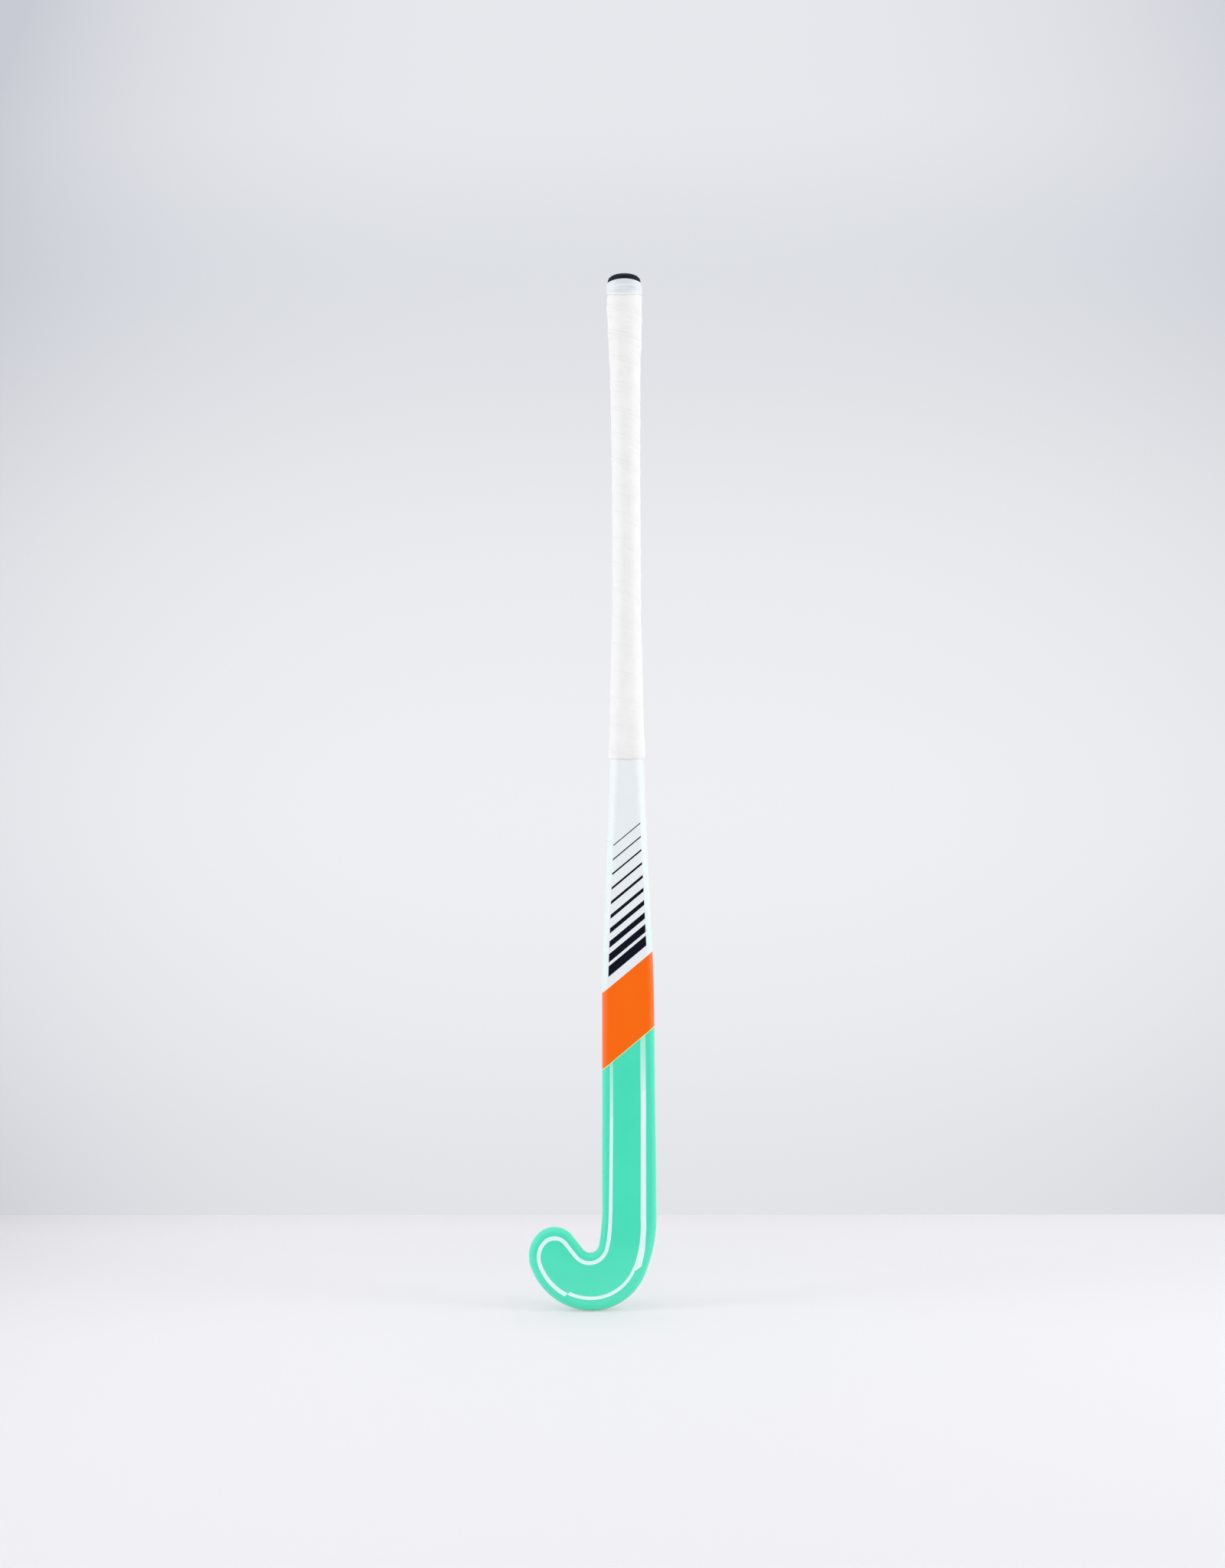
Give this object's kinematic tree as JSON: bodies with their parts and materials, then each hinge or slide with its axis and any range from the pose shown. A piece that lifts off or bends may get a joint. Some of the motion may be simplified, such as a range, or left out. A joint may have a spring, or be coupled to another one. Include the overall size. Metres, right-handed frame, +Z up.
{
  "type": "indoor hockey stick",
  "caption": "Hollow composite hockey stick with a flat-faced hooked head, rounded back, gently bowed shaft, wound soft grip and rubber butt cap.",
  "frame": {"origin": "middle of the bounding box in X and Y, at the lowest point of the heel", "axes": "+Z up the shaft to the butt, -X towards the toe of the hook, -Y out of the flat playing face, +Y out of the rounded back"},
  "size_m": [0.1146, 0.0436, 0.9267],
  "materials": {
    "outer_laminate": "glossy clear lacquer over print: mint head, orange band, pearl white shaft",
    "head_core": "dense cast foam",
    "heel_guard": "resin-filled tough fibre",
    "damping_strip": "soft matt elastomer",
    "inner_laminate": "moulded fibre laminate",
    "plug_foam": "light rigid foam",
    "grip_underlay": "thin closed-cell cushion",
    "grip_tape": "soft white synthetic chamois",
    "butt_cap": "satin black rubber",
    "grip_collar": "clear shrink film"
  },
  "bodies": {
    "root": {"outer_laminate": "outer_laminate", "head_core": "head_core", "heel_guard": "heel_guard", "damping_strip": "damping_strip", "toe_side_tube": "inner_laminate", "heel_side_tube": "inner_laminate", "toe_side_plug": "plug_foam", "heel_side_plug": "plug_foam", "grip_underlay": "grip_underlay", "grip_tape": "grip_tape", "butt_cap": "butt_cap", "grip_collar": "grip_collar"}
  },
  "joints": []
}
